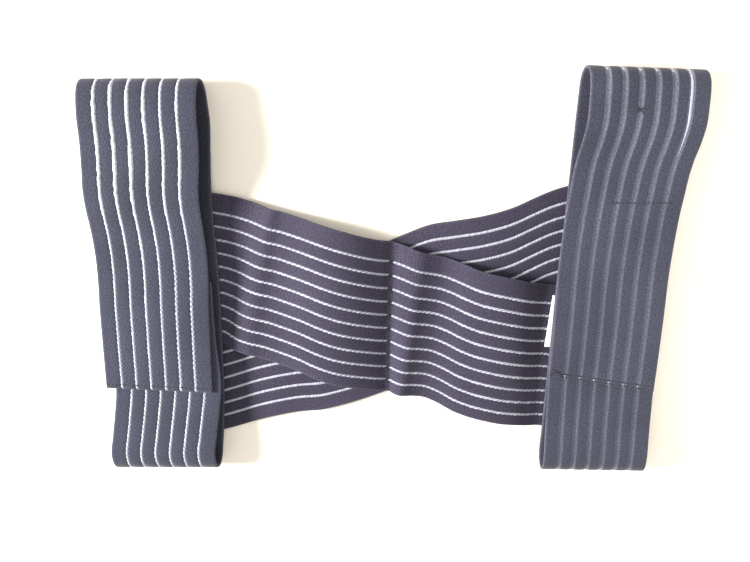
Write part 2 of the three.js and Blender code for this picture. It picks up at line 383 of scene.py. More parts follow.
def linear(hex_colour):
    """An sRGB hex colour as linear red, green and blue by the standard's formula, with full alpha."""
    values = [int(hex_colour[start:start + 2], 16) / 255 for start in (1, 3, 5)]
    return [v / 12.92 if v <= 0.04045 else ((v + 0.055) / 1.055) ** 2.4 for v in values] + [1.0]


MIX_SHARE = 0  # sockets of a Mix node: its share
MIX_LOW, MIX_HIGH = 2, 3  # its numbers
MIX_A, MIX_B, MIX_RESULT = 6, 7, 2  # and its colours and their result

# %% [markdown]
# ## Woven elastic
# The webbing is woven on a needle loom from matt polyester over rubber cores. The eye sees a dark slate
# cloth with a fine diagonal twill on the narrow elastic and fine lines straight across the wide one, a
# soft bloom at grazing angles from the fibre ends, and a slightly paler selvedge. Where a stripe lies,
# the pattern yarn shows: white on the good face, a dull grey on the other face. An image of cloth could
# be laid on, but the strip carries its own attributes (along, across, and the distance from the nearest
# stripe and edge, all in millimetres), so a pattern that is worked out from them bends round the folds
# with the cloth.

# %% Weave pattern
TWILL = 1.75  # from one line of the weave to the next, drawn coarser than the real one so that it shows
WAVE_LINES = 20  # a Wave texture turns by this many radians for each unit of its scale
WANDER = 2.5  # how much the lines of the weave wander
FIBRE = 1.2  # size of the uneven spots that the fibre ends make, drawn coarser than the real ones too
DYE = 40.0  # size of the clouds in the colour
WORN = (0.35, 0.65)  # the weave goes from faint to clear between these values of the dye's noise
FAINT = 0.3  # share of the weave that is left where it is faint
EVEN_TONE = 0.5  # halfway between the two shades, where no weave shows


def weave_pattern(tree, lean, twill_share):
    """What the points carry, the noise of the fibre ends and of the dye, and the lines of the weave."""
    reading = {
        key: add_node(tree, "ShaderNodeAttribute", attribute_name=key).outputs["Fac"]
        for key in ("along", "across", "from_stripe", "from_edge", "stripe_half", "white_share")
    }
    spot = {"X": reading["across"], "Y": reading["along"]}
    place = add_node(tree, "ShaderNodeCombineXYZ", spot).outputs[0]
    turned = add_node(tree, "ShaderNodeMapping", {"Vector": place, "Rotation": (0.0, 0.0, lean)})
    wave = {
        "Vector": turned.outputs[0],
        "Scale": 2 * math.pi / (WAVE_LINES * TWILL),
        "Distortion": WANDER,
        "Detail Scale": 2.0,
    }
    lines = add_node(tree, "ShaderNodeTexWave", wave).outputs["Fac"]
    spots = {"Vector": place, "Scale": 1 / FIBRE, "Detail": 2.0}
    fibres = add_node(tree, "ShaderNodeTexNoise", spots, noise_dimensions="2D").outputs["Fac"]
    clouds = {"Vector": place, "Scale": 1 / DYE, "Detail": 2.0}
    dye = add_node(tree, "ShaderNodeTexNoise", clouds, noise_dimensions="2D").outputs["Fac"]
    worn = {"From Min": WORN[0], "From Max": WORN[1], "To Min": FAINT * twill_share, "To Max": twill_share}
    clear = add_node(tree, "ShaderNodeMapRange", {"Value": dye, **worn}).outputs[0]
    mixed = {MIX_SHARE: clear, MIX_LOW: EVEN_TONE, MIX_HIGH: lines}
    twill = add_node(tree, "ShaderNodeMix", mixed).outputs[0]
    return reading, fibres, dye, twill


# %% Cloth colour
SELVEDGE = (0.6, 1.6)  # the selvedge's colour ends between these distances from the edge
SELVEDGE_SHARE = 0.6  # how much of that colour the edge takes
RAGGED = 0.5  # how far the fibre ends push a stripe's border about
STRIPE_FADE = (-0.2, 0.6)  # a stripe fades out between these distances past its border


def cloth_colour(tree, reading, fibres, twill, colours):
    """The colour of the cloth: ribs in two shades, a paler selvedge, and stripes of dull or white yarn."""
    shades = {MIX_SHARE: twill, MIX_A: linear(colours["dark"]), MIX_B: linear(colours["light"])}
    ribs = add_node(tree, "ShaderNodeMix", shades, data_type="RGBA").outputs[MIX_RESULT]
    paler = {"From Min": SELVEDGE[0], "From Max": SELVEDGE[1], "To Min": SELVEDGE_SHARE, "To Max": 0.0}
    selvedge = add_node(tree, "ShaderNodeMapRange", {"Value": reading["from_edge"], **paler}).outputs[0]
    edged = {MIX_SHARE: selvedge, MIX_A: ribs, MIX_B: linear(colours["edge"])}
    ribs = add_node(tree, "ShaderNodeMix", edged, data_type="RGBA").outputs[MIX_RESULT]

    yarns = {
        MIX_SHARE: reading["white_share"],
        MIX_A: linear(colours["dull"]),
        MIX_B: linear(colours["white"]),
    }
    yarn = add_node(tree, "ShaderNodeMix", yarns, data_type="RGBA").outputs[MIX_RESULT]
    border = {0: reading["from_stripe"], 1: reading["stripe_half"]}
    past = add_node(tree, "ShaderNodeMath", border, operation="SUBTRACT").outputs[0]
    push = {0: fibres, 1: RAGGED, 2: past}
    ragged = add_node(tree, "ShaderNodeMath", push, operation="MULTIPLY_ADD").outputs[0]
    fade = {"From Min": STRIPE_FADE[0], "From Max": STRIPE_FADE[1], "To Min": 1.0, "To Max": 0.0}
    shown = {"Value": ragged, **fade}
    stripe = add_node(tree, "ShaderNodeMapRange", shown, interpolation_type="SMOOTHSTEP").outputs[0]
    striped = {MIX_SHARE: stripe, MIX_A: ribs, MIX_B: yarn}
    return add_node(tree, "ShaderNodeMix", striped, data_type="RGBA").outputs[MIX_RESULT]


# %% Woven elastic material
GRAIN = 0.3  # how much darker and lighter the spots of the fibre ends are
CLOUDS = 0.1  # how much darker and lighter the clouds in the dye are
NOISE_RANGE = (0.3, 0.7)  # a noise texture's values lie mostly between these
FIBRE_RELIEF = 0.5  # height of the fibre ends, as a share of the weave's relief


def woven_elastic(name, colours, lean, twill_share):
    """The webbing's material: a matt woven cloth with an uneven tone, a fine relief and a little sheen."""
    material = bpy.data.materials.new(name)
    material.use_nodes = True
    tree = material.node_tree
    reading, fibres, dye, twill = weave_pattern(tree, lean, twill_share)
    cloth = cloth_colour(tree, reading, fibres, twill, colours)

    tones = []
    low, high = NOISE_RANGE
    for noise, share in ((fibres, GRAIN), (dye, CLOUDS)):
        spread = {"From Min": low, "From Max": high, "To Min": 1 - share, "To Max": 1 + share}
        tones.append(add_node(tree, "ShaderNodeMapRange", {"Value": noise, **spread}).outputs[0])
    value = add_node(tree, "ShaderNodeMath", {0: tones[0], 1: tones[1]}, operation="MULTIPLY").outputs[0]
    colour = add_node(tree, "ShaderNodeHueSaturation", {"Value": value, "Color": cloth}).outputs[0]

    raised = {0: fibres, 1: FIBRE_RELIEF, 2: twill}
    height = add_node(tree, "ShaderNodeMath", raised, operation="MULTIPLY_ADD").outputs[0]
    relief = add_node(tree, "ShaderNodeBump", {"Height": height, "Strength": 0.6, "Distance": 0.12 * MM})
    shader = tree.nodes["Principled BSDF"]
    tree.links.new(colour, shader.inputs["Base Color"])
    tree.links.new(relief.outputs[0], shader.inputs["Normal"])
    shader.inputs["Roughness"].default_value = 0.9
    shader.inputs["Specular IOR Level"].default_value = 0.25
    shader.inputs["Sheen Weight"].default_value = 0.12
    shader.inputs["Sheen Roughness"].default_value = 0.45
    return material


# %% The webbing's three cloths
STRAP_LEAN = math.radians(-25)  # the narrow elastic is a steep twill
BACK_LEAN = math.radians(-38)  # which lies flatter on its other face
BAND_LEAN = math.radians(90)  # in the wide elastic the lines run straight across
STRAP_CLOTH = woven_elastic(
    "narrow_elastic_woven",
    {"dark": "#282934", "light": "#3f404e", "dull": "#5a5a68", "white": "#9a9aa8", "edge": "#4c4b58"},
    STRAP_LEAN,
    twill_share=0.5,
)
STRAP_BACK = woven_elastic(
    "narrow_elastic_woven_back",
    {"dark": "#30313c", "light": "#444552", "dull": "#4e4f5c", "white": "#a2a2b0", "edge": "#504f5c"},
    BACK_LEAN,
    twill_share=0.4,
)
BAND_CLOTH = woven_elastic(
    "wide_elastic_woven",
    {"dark": "#2f2c39", "light": "#3f3a4a", "dull": "#53505f", "white": "#8f8c9c", "edge": "#464352"},
    BAND_LEAN,
    twill_share=0.45,
)
print("webbing materials:", STRAP_CLOTH.name, STRAP_BACK.name, "and", BAND_CLOTH.name)

# %% [markdown]
# ## Yarn and thread
# The white stripes are floats of bulky polyester yarn that jump over a few picks of the weave, so they
# catch the light above the dark cloth. The sewing threads are spun polyester in slate, a little smoother
# than the yarn. All are matt, with some unevenness from fibre to fibre. A hair system could draw the
# single fibres, but at this distance two shades of noise give the eye the same.

# %% Yarn and thread materials
HAIR_SPOT = 0.9  # size of the uneven spots along a yarn, drawn coarser than its fibres so that they show


def spun_yarn(name, dark, light, roughness):
    """A matt spun yarn that varies between two shades along its length."""
    material = bpy.data.materials.new(name)
    material.use_nodes = True
    tree = material.node_tree
    place = add_node(tree, "ShaderNodeTexCoord").outputs["Object"]
    hairs = {"Vector": place, "Scale": 1 / (HAIR_SPOT * MM), "Detail": 2.0}
    noise = add_node(tree, "ShaderNodeTexNoise", hairs).outputs["Fac"]
    shades = {MIX_SHARE: noise, MIX_A: linear(dark), MIX_B: linear(light)}
    colour = add_node(tree, "ShaderNodeMix", shades, data_type="RGBA").outputs[MIX_RESULT]
    relief = add_node(tree, "ShaderNodeBump", {"Height": noise, "Strength": 0.6, "Distance": 0.15 * MM})
    shader = tree.nodes["Principled BSDF"]
    tree.links.new(colour, shader.inputs["Base Color"])
    tree.links.new(relief.outputs[0], shader.inputs["Normal"])
    shader.inputs["Roughness"].default_value = roughness
    shader.inputs["Specular IOR Level"].default_value = 0.3
    return material


WHITE_YARN = spun_yarn("white_polyester_yarn_spun", "#85858f", "#c0c0c9", 0.85)
DARK_THREAD = spun_yarn("slate_sewing_thread_spun", "#26252d", "#34333d", 0.6)
# its dark tone also paints the shadow line under the right lap's cut edge
OVERLOCK_AND_SHADOW_THREAD = spun_yarn("slate_overlock_thread_and_painted_shadow_spun", "#26262e", "#393942", 0.7)
# the cut ends of the white yarn, in a greyer tone than the floats
GREY_YARN = spun_yarn("greyed_polyester_yarn_spun", "#6a6a75", "#94949e", 0.85)
print("yarns:", WHITE_YARN.name, GREY_YARN.name, DARK_THREAD.name, "and", OVERLOCK_AND_SHADOW_THREAD.name)

# %% [markdown]
# ## Ribs by Geometry Nodes
# A plain closed strip comes first, with points close together at each stripe. Its ribs follow one rule
# all over, so a small node tree presses them in: every point moves inward by a depth that depends only on
# its distance from the nearest stripe. A modelled profile swept along a curve would do on a straight
# strap, but not on bands whose sections lean.

# %% Plain strip mesh
GROOVE_POINTS = np.array([-1.6, -1.2, -0.8, -0.4, 0.0, 0.4, 0.8, 1.2, 1.6])  # beside a stripe's middle
RIB_POINTS = 6  # points between two stripes
EDGE_POINTS = 3  # points round an edge
NO_STRIPE = 9.0  # a distance from the nearest stripe that no groove reaches


def face_places(webbing):
    """Places across one face of the strip, close together at the stripes."""
    radius = webbing["thickness"] / 2
    stripes = stripe_places(webbing)
    bounds = np.concatenate([[radius], stripes, [webbing["width"] - radius]])
    ribs = [np.linspace(a, b, RIB_POINTS + 2) for a, b in zip(bounds[:-1], bounds[1:])]
    places = np.concatenate([(stripes[:, None] + GROOVE_POINTS).ravel(), *ribs])
    return np.unique(places.round(3))


def strip_outline(webbing):
    """Across, lift and side of the points round the strip's section, and how many lie on one face."""
    radius = webbing["thickness"] / 2
    face = face_places(webbing)
    angle = np.linspace(-90.0, 90.0, EDGE_POINTS + 2)[1:-1] * math.pi / 180
    bulge = radius * (1 - np.cos(angle))
    rise = radius * np.sin(angle)
    level = np.full(len(face), radius)
    across = np.concatenate([face, webbing["width"] - bulge, face[::-1], bulge])
    lift = np.concatenate([-level, rise, level, rise[::-1]])
    neither = np.zeros(EDGE_POINTS)
    side = np.concatenate([-np.ones(len(face)), neither, np.ones(len(face)), neither])
    return across, lift, side, len(face)


def strip_faces(stations, rim, face):
    """Quads round the strip and over its two cut ends."""
    ring = np.arange(rim)
    around = np.column_stack([ring, (ring + 1) % rim, (ring + 1) % rim + rim, ring + rim])
    quads = (np.arange(stations - 1)[:, None, None] * rim + around).reshape(-1, 4).tolist()
    above = 2 * face + EDGE_POINTS - 1
    end = [[point, above - point, above - point - 1, point + 1] for point in range(face - 1)]
    end.append([*range(face - 1, face + EDGE_POINTS + 1)][::-1])
    end.append([0, *range(rim - 1, rim - EDGE_POINTS - 2, -1)])
    last = (stations - 1) * rim
    return quads, end + [[last + point for point in reversed(corners)] for corners in end]


def plain_strip(name, strip, stripe_looks):
    """A closed strip mesh whose points know their place on the cloth.

    stripe_looks gives the white share and the half width of the stripe at each point.
    """
    across, lift, side, face = strip_outline(strip.webbing)
    rim, count = len(across), len(strip.stations)
    share = (across / strip.webbing["width"] - 0.5)[None, :, None]
    raised = lift[None, :, None] * strip.outwards[:, None]
    points = strip.centres[:, None] + share * strip.acrosses[:, None] + raised
    sides, ends = strip_faces(count, rim, face)
    mesh = bpy.data.meshes.new(name)
    mesh.from_pydata((points.reshape(-1, 3) * MM).tolist(), [], sides + ends)
    mesh.polygons.foreach_set("use_smooth", [True] * len(sides) + [False] * len(ends))
    stripes = stripe_places(strip.webbing)
    gaps = np.abs(across[:, None] - stripes).min(axis=1) if len(stripes) else np.full(rim, NO_STRIPE)
    white, half = stripe_looks(strip, across, side)
    columns = {
        "along": strip.stations[:, None] + np.zeros(rim),
        "across": across + np.zeros((count, 1)),
        "from_edge": np.minimum(across, strip.webbing["width"] - across) + np.zeros((count, 1)),
        "from_stripe": np.where(side == 0, NO_STRIPE, gaps) + np.zeros((count, 1)),
        "white_share": white,
        "stripe_half": half,
    }
    for key, values in columns.items():
        mesh.attributes.new(key, "FLOAT", "POINT").data.foreach_set("value", values.ravel())
    inward = (-side[None, :, None] * strip.outwards[:, None]).ravel()
    mesh.attributes.new("inward", "FLOAT_VECTOR", "POINT").data.foreach_set("vector", inward)
    return mesh


# %% Rib tree
def new_tree(name, sizes):
    """A Geometry Nodes tree with a geometry input, these named inputs and a geometry output."""
    tree = bpy.data.node_groups.new(name, "GeometryNodeTree")
    tree.interface.new_socket("Geometry", in_out="INPUT", socket_type="NodeSocketGeometry")
    for label, kind in sizes.items():
        tree.interface.new_socket(label, in_out="INPUT", socket_type="NodeSocket" + kind)
    tree.interface.new_socket("Geometry", in_out="OUTPUT", socket_type="NodeSocketGeometry")
    return tree, add_node(tree, "NodeGroupInput").outputs


RIB_SIZES = {
    "Groove depth": "Float",
    "Groove width": "Float",
    "Crown": "Float",
    "Rib width": "Float",
    "Cloth": "Material",
}
rib_tree, given = new_tree("Ribs between stripes", RIB_SIZES)
gap = add_node(rib_tree, "GeometryNodeInputNamedAttribute", {"Name": "from_stripe"}, data_type="FLOAT")
inward = add_node(rib_tree, "GeometryNodeInputNamedAttribute", {"Name": "inward"}, data_type="FLOAT_VECTOR")
half_groove = add_node(rib_tree, "ShaderNodeMath", {0: given["Groove width"], 1: 0.5}, operation="MULTIPLY")
half_rib = add_node(rib_tree, "ShaderNodeMath", {0: given["Rib width"], 1: 0.5}, operation="MULTIPLY")
groove = add_node(
    rib_tree,
    "ShaderNodeMapRange",
    {
        "Value": gap.outputs[0],
        "From Max": half_groove.outputs[0],
        "To Min": given["Groove depth"],
        "To Max": 0.0,
    },
    interpolation_type="SMOOTHSTEP",
)
crown = add_node(
    rib_tree,
    "ShaderNodeMapRange",
    {"Value": gap.outputs[0], "From Max": half_rib.outputs[0], "To Min": given["Crown"], "To Max": 0.0},
    interpolation_type="SMOOTHERSTEP",
)
depth = add_node(rib_tree, "ShaderNodeMath", {0: groove.outputs[0], 1: crown.outputs[0]}, operation="ADD")
move = add_node(
    rib_tree, "ShaderNodeVectorMath", {0: inward.outputs[0], "Scale": depth.outputs[0]}, operation="SCALE"
)
ribbed = {"Geometry": given["Geometry"], "Offset": move.outputs[0]}
pressed = add_node(rib_tree, "GeometryNodeSetPosition", ribbed)
whole = add_node(rib_tree, "GeometryNodeRealizeInstances", {"Geometry": pressed.outputs[0]})
covered = {"Geometry": whole.outputs[0], "Material": given["Cloth"]}
clad = add_node(rib_tree, "GeometryNodeSetMaterial", covered)
add_node(rib_tree, "NodeGroupOutput", {"Geometry": clad.outputs[0]})
print("rib tree with", len(rib_tree.nodes), "nodes")

# %% Run a tree
def grown(name, guide, tree, sizes):
    """A plain mesh object of what the tree makes from the guide mesh, which goes with its modifier."""
    source = bpy.data.objects.new(name + "_guide", guide)
    bpy.context.scene.collection.objects.link(source)
    modifier = source.modifiers.new(tree.name, "NODES")
    modifier.node_group = tree
    for item in tree.interface.items_tree:
        if item.name in sizes:
            modifier[item.identifier] = sizes[item.name]
    evaluated = source.evaluated_get(bpy.context.evaluated_depsgraph_get())
    mesh = bpy.data.meshes.new_from_object(evaluated)
    bpy.data.objects.remove(source)
    bpy.data.meshes.remove(guide)
    mesh.name = name
    piece = bpy.data.objects.new(name, mesh)
    bpy.context.scene.collection.objects.link(piece)
    print(name, len(mesh.polygons), "faces")
    return piece


# %% [markdown]
# ## The four strips of webbing
# The left loop shows the webbing's good face with white stripes, and the right loop its other face, where
# the stripes are dull. They turn white at the folds, where the cloth is stretched open, and the outermost
# one stays white for a while below the top fold. Both bands show the good face. Each strip gets these
# looks as attributes before the ribs are pressed in.

# %% Stripe looks
WHITE_HALF = 0.8  # half the width of the paler cloth under the white floats
DULL_HALF = 1.9  # half the width of a dull stripe
NO_YARN = -1.0  # a half width that shows no stripe at all
SEAM_HALF = 1.6  # half the width of the line that the seam's stitches draw across the stripes
KNOT = {"stripe": 2, "y": 114.5, "half": 1.4}  # where a yarn was knotted, so that its stripe is broken
FOLD_SPREADS = {"top": 7.0, "bottom": 6.0}  # how far a dull stripe turns white from the middle of a fold
FOLD_WHITE = 0.75  # how white it is there
PALER_FRONT = {"from_y": 30.0, "over": 90.0, "white": 0.15}  # the dull stripes grow paler up the front


def good_face_out(strip, across, side):
    """White yarn on the outward face, dull yarn on the inward one."""
    white = np.where(side > 0, 1.0, 0.0) + np.zeros((len(strip.stations), 1))
    return white, np.where(white > 0, WHITE_HALF, DULL_HALF)


def good_face_in(strip, across, side):
    """Dull yarn on the outward face, paler near the folds, and white yarn on the inward face."""
    whiter = np.zeros(len(strip.stations))
    for part, spread in FOLD_SPREADS.items():
        middle = sum(strip.parts[part]) / 2
        whiter = np.maximum(whiter, FOLD_WHITE * np.exp(-(((strip.stations - middle) / spread) ** 2)))
    above = along_at(strip, "front", PALER_FRONT["from_y"]) - strip.stations
    paler = np.clip(above / PALER_FRONT["over"], 0.0, 1.0) * (strip.stations > strip.parts["top"][0])
    whiter = np.maximum(whiter, PALER_FRONT["white"] * paler)[:, None]
    white = np.where(side > 0, whiter, 1.0)
    knotted = np.abs(strip.stations - along_at(strip, "front", KNOT["y"])) < KNOT["half"]
    on_stripe = np.abs(across - stripe_places(STRAP)[KNOT["stripe"]]) < STRAP["spacing"] / 2
    half = np.where(side > 0, DULL_HALF, WHITE_HALF) + np.zeros((len(strip.stations), 1))
    return white, np.where(knotted[:, None] & on_stripe & (side > 0), NO_YARN, half)


def good_face_sewn(strip, across, side):
    """The good face of the over band, whose white yarn dives under the seam's stitches."""
    white, half = good_face_out(strip, across, side)
    sewn_down = np.abs(strip.centres[:, 0] - SEAM_X) < SEAM_HALF
    return white, np.where(sewn_down[:, None], NO_YARN, half)


# %% Webbing pieces
# the attributes are in millimetres, so the widths are too; the depths move points, so they are in metres
RIBS = {"Groove width": 3.6, "Groove depth": 0.3 * MM, "Crown": 0.16 * MM}


def webbing_piece(name, strip, looks, cloth):
    """A ribbed strip of webbing."""
    sizes = {**RIBS, "Rib width": strip.webbing["spacing"], "Cloth": cloth}
    return grown(name, plain_strip(name, strip, looks), rib_tree, sizes)


left_loop = webbing_piece("left_loop_webbing", left_strip, good_face_out, STRAP_CLOTH)
right_loop = webbing_piece("right_loop_webbing", right_strip, good_face_in, STRAP_BACK)
over_band = webbing_piece("over_band_webbing", over_strip, good_face_sewn, BAND_CLOTH)
under_band = webbing_piece("under_band_webbing", under_strip, good_face_out, BAND_CLOTH)

# %% [markdown]
# ## Floats and stitches by Geometry Nodes
# A float of yarn and a stitch are the same thing to a node tree: a short bead of thread, laid again and
# again along a path on the cloth. The tree turns a path's edges to a curve, sets points on it at an even
# pitch, and lays one bead on each, turned to the path and to the cloth's outward side.

# %% Thread tree
THREAD_SIZES = {
    "Pitch": "Float",
    "Length": "Float",
    "Width": "Float",
    "Height": "Float",
    "Slant": "Float",
    "Unevenness": "Float",
    "Seed": "Int",
    "Thread": "Material",
}
thread_tree, given = new_tree("Beads of thread along a path", THREAD_SIZES)
outward = add_node(
    thread_tree, "GeometryNodeInputNamedAttribute", {"Name": "outward"}, data_type="FLOAT_VECTOR"
)
fullness = add_node(thread_tree, "GeometryNodeInputNamedAttribute", {"Name": "fullness"}, data_type="FLOAT")
path = add_node(thread_tree, "GeometryNodeMeshToCurve", {"Mesh": given["Geometry"]})
even = {"Curve": path.outputs[0], "Length": given["Pitch"]}
spots = add_node(thread_tree, "GeometryNodeCurveToPoints", even, mode="LENGTH")
laid = add_node(
    thread_tree,
    "FunctionNodeAxesToRotation",
    {"Primary Axis": outward.outputs[0], "Secondary Axis": spots.outputs["Tangent"]},
    primary_axis="Z",
    secondary_axis="X",
)
aside = {"Axis": (0.0, 0.0, 1.0), "Angle": given["Slant"]}
slant = add_node(thread_tree, "FunctionNodeAxisAngleToRotation", aside)
turn = add_node(
    thread_tree,
    "FunctionNodeRotateRotation",
    {"Rotation": laid.outputs[0], "Rotate By": slant.outputs[0]},
    rotation_space="LOCAL",
)
least = add_node(thread_tree, "ShaderNodeMath", {0: 1.0, 1: given["Unevenness"]}, operation="SUBTRACT")
most = add_node(thread_tree, "ShaderNodeMath", {0: 1.0, 1: given["Unevenness"]}, operation="ADD")
chance = add_node(
    thread_tree,
    "FunctionNodeRandomValue",
    {2: least.outputs[0], 3: most.outputs[0], "Seed": given["Seed"]},
    data_type="FLOAT",
)
size = add_node(
    thread_tree, "ShaderNodeCombineXYZ", {"X": given["Length"], "Y": given["Width"], "Z": given["Height"]}
)
shares = {0: chance.outputs[1], 1: fullness.outputs[0]}
share = add_node(thread_tree, "ShaderNodeMath", shares, operation="MULTIPLY")
sized = {0: size.outputs[0], "Scale": share.outputs[0]}
scale = add_node(thread_tree, "ShaderNodeVectorMath", sized, operation="SCALE")
bead = add_node(thread_tree, "GeometryNodeMeshUVSphere", {"Segments": 8, "Rings": 4, "Radius": 0.5})
beads = add_node(
    thread_tree,
    "GeometryNodeInstanceOnPoints",
    {
        "Points": spots.outputs["Points"],
        "Instance": bead.outputs["Mesh"],
        "Rotation": turn.outputs[0],
        "Scale": scale.outputs[0],
    },
)
soft = add_node(thread_tree, "GeometryNodeSetShadeSmooth", {"Geometry": beads.outputs[0]})
whole = add_node(thread_tree, "GeometryNodeRealizeInstances", {"Geometry": soft.outputs[0]})
covered = {"Geometry": whole.outputs[0], "Material": given["Thread"]}
spun = add_node(thread_tree, "GeometryNodeSetMaterial", covered)
add_node(thread_tree, "NodeGroupOutput", {"Geometry": spun.outputs[0]})
print("thread tree with", len(thread_tree.nodes), "nodes")

# %% Paths on the cloth
def path_mesh(name, paths):
    """One mesh of open paths. Each is its points, the outward directions and how full the thread is."""
    points, edges, outwards, fullnesses = [], [], [], []
    for places, outs, full in paths:
        first = len(points)
        points.extend((places * MM).tolist())
        edges.extend((point, point + 1) for point in range(first, len(points) - 1))
        outwards.append(outs)
        fullnesses.append(full + np.zeros(len(places)))
    mesh = bpy.data.meshes.new(name)
    mesh.from_pydata(points, edges, [])
    outward = mesh.attributes.new("outward", "FLOAT_VECTOR", "POINT")
    outward.data.foreach_set("vector", np.concatenate(outwards).ravel())
    fullness = mesh.attributes.new("fullness", "FLOAT", "POINT")
    fullness.data.foreach_set("value", np.concatenate(fullnesses))
    return mesh


PATH_STEP = 2.0  # distance between the points of a path


def stripe_path(strip, stripe, start, end, lift, fullness=1.0):
    """A path along one stripe from start to end. fullness is a number or a function of the distances."""
    along = np.linspace(start, end, max(2, round((end - start) / PATH_STEP)))
    places, outs = strip.spot(along, stripe_places(strip.webbing)[stripe], lift)
    return places, outs, fullness(along) if callable(fullness) else fullness


def row_path(strip, along, start, end, lift):
    """A path across the strip, from one distance off its first edge to another."""
    across = np.linspace(start, end, max(2, round((end - start) / PATH_STEP)))
    places, outs = strip.spot(along, across, lift)
    return places, outs, 1.0


# %% [markdown]
# ## White floats in the stripes
# Each white stripe is a line of slanting floats that lie close enough to read as one ragged white line.
# They are fullest on the left loop's front just below the top fold, where the strap bulges, and thin out
# further down. In the two inner stripes of that loop they even part into separate dots. A white line in
# the material alone would do from afar, but real yarn stands out of its groove and casts small shadows.

# %% Float sizes
FLOAT_LIFT = 0.4  # height of a float's middle above the middle of the webbing
FLOATS = {
    "Pitch": 3.3 * MM,
    "Length": 4.0 * MM,
    "Width": 1.8 * MM,
    "Height": 0.75 * MM,
    "Slant": math.radians(9),
    "Unevenness": 0.2,
    "Seed": SEED,
    "Thread": WHITE_YARN,
}
DOTS = {**FLOATS, "Pitch": 3.5 * MM, "Length": 2.9 * MM}

# %% Runs of the left loop's floats
LAP_SHOWS_Y = -74.0  # the lap comes out from under the front layer here
DOTS_Y = (12.0, -58.0)  # on the front, the dots run from the first to the second
DOTTED = (4, 5)  # in the two stripes nearest to the brace's middle
OFF_FLOOR = 7.0  # the floats stop this far before the strap lies flat on the floor
OFF_STITCHES = 4.0  # and this far before the cut end, where the strap is sewn down
front_end = left_strip.stations[-1]
lap_shows = along_at(left_strip, "lap", LAP_SHOWS_Y)
dots_start, dots_end = [along_at(left_strip, "front", y) for y in DOTS_Y]
stitched = front_end - OFF_STITCHES
top_shows = left_strip.parts["top"][0] + OFF_FLOOR
bottom_shows = left_strip.parts["bottom"][1] - OFF_FLOOR
outer_runs = [(top_shows, stitched)]
inner_runs = [(top_shows, dots_start), (dots_end, stitched)]
print("dots for", round(dots_end - dots_start), "mm of the left loop's front")

# %% Floats of the left loop
LEFT_SHARES = (1.0, 1.05, 1.12, 0.95, 0.9, 0.88)  # how full each stripe's floats are, from the left
LAP_FULLNESS = 0.92
CUT_YARN = (2.2, 0.6)  # the yarn shows again between these distances before the cut end


def left_fullness(along):
    """Floats that are fullest just below the top fold and thin out down the front."""
    top = sum(left_strip.parts["top"]) / 2
    rows = [(top, 1.2), (top + 20.0, 1.7), (top + 70.0, 1.55), (top + 120.0, 1.0), (front_end, 0.82)]
    return np.interp(along, *zip(*rows))


left_paths = [
    stripe_path(
        left_strip, stripe, *run, FLOAT_LIFT, lambda along, share=share: share * left_fullness(along)
    )
    for stripe, share in enumerate(LEFT_SHARES)
    for run in (inner_runs if stripe in DOTTED else outer_runs)
]
left_paths += [
    stripe_path(left_strip, stripe, lap_shows, bottom_shows, FLOAT_LIFT, LAP_FULLNESS)
    for stripe in range(STRAP["stripes"])
]
left_paths += [
    stripe_path(left_strip, stripe, *[front_end - before for before in CUT_YARN], FLOAT_LIFT)
    for stripe in range(STRAP["stripes"])
]
left_dots = [stripe_path(left_strip, stripe, dots_start, dots_end, FLOAT_LIFT) for stripe in DOTTED]
left_floats = grown("left_loop_white_floats", path_mesh("left_paths", left_paths), thread_tree, FLOATS)
left_beads = grown("left_loop_white_dots", path_mesh("left_dots", left_dots), thread_tree, DOTS)

# %% Floats of the right loop
FOLD_FLOATS = {"top": 5.0, "bottom": 4.0}  # how far the floats reach to both sides of a fold's middle
FOLD_FULLNESS = 0.8
WHITE_STRIPE = 5  # the outermost stripe, which stays white for a while below the top fold
FADE_REACH = 58.0  # how far it does so
FADING_FLOATS = {
    **FLOATS,
    "Pitch": 1.0 * MM,
    "Length": 3.0 * MM,
    "Width": 2.0 * MM,
    "Unevenness": 0.1,
}
fold_middles = {part: sum(right_strip.parts[part]) / 2 for part in FOLD_FLOATS}
fade_start = fold_middles["top"]
fade_end = fade_start + FADE_REACH


def fading(along):
    """Floats that thin out down the outermost stripe."""
    rows = [(fade_start, 0.9), (fade_start + 30.0, 0.95), (fade_end, 0.2)]
    return np.interp(along, *zip(*rows))


right_paths = [
    stripe_path(right_strip, stripe, middle - reach, middle + reach, FLOAT_LIFT, FOLD_FULLNESS)
    for stripe in range(STRAP["stripes"])
    for middle, reach in zip(fold_middles.values(), FOLD_FLOATS.values())
]
right_paths.append(stripe_path(right_strip, WHITE_STRIPE, fade_start, fade_end, FLOAT_LIFT, fading))
right_guide = path_mesh("right_paths", right_paths)
right_floats = grown("right_loop_white_floats", right_guide, thread_tree, FADING_FLOATS)

# %% Floats of the bands
SAWTOOTH_FLOATS = {**FLOATS, "Width": 1.5 * MM, "Length": 4.6 * MM, "Slant": math.radians(15)}
SMOOTH_FLOATS = {
    **FLOATS,
    "Pitch": 2.0 * MM,
    "Width": 1.65 * MM,
    "Slant": math.radians(3),
    "Unevenness": 0.1,
}
UNDER_FULLNESS = 1.2
SEAM_CLEAR = 1.6 * SEAM_HALF  # the over band's floats stop this far from the seam


def band_floats(name, strip, runs, fullness, sizes):
    """White floats along every stripe of a band's upper face, in runs between two distances along it."""
    paths = [
        stripe_path(strip, stripe, start, end, FLOAT_LIFT, fullness)
        for stripe in range(strip.webbing["stripes"])
        for start, end in runs
    ]
    return grown(name, path_mesh(name + "_paths", paths), thread_tree, sizes)


seam_along = SEAM_X - OVER_ROWS[0][0]
over_end = over_strip.stations[-1]
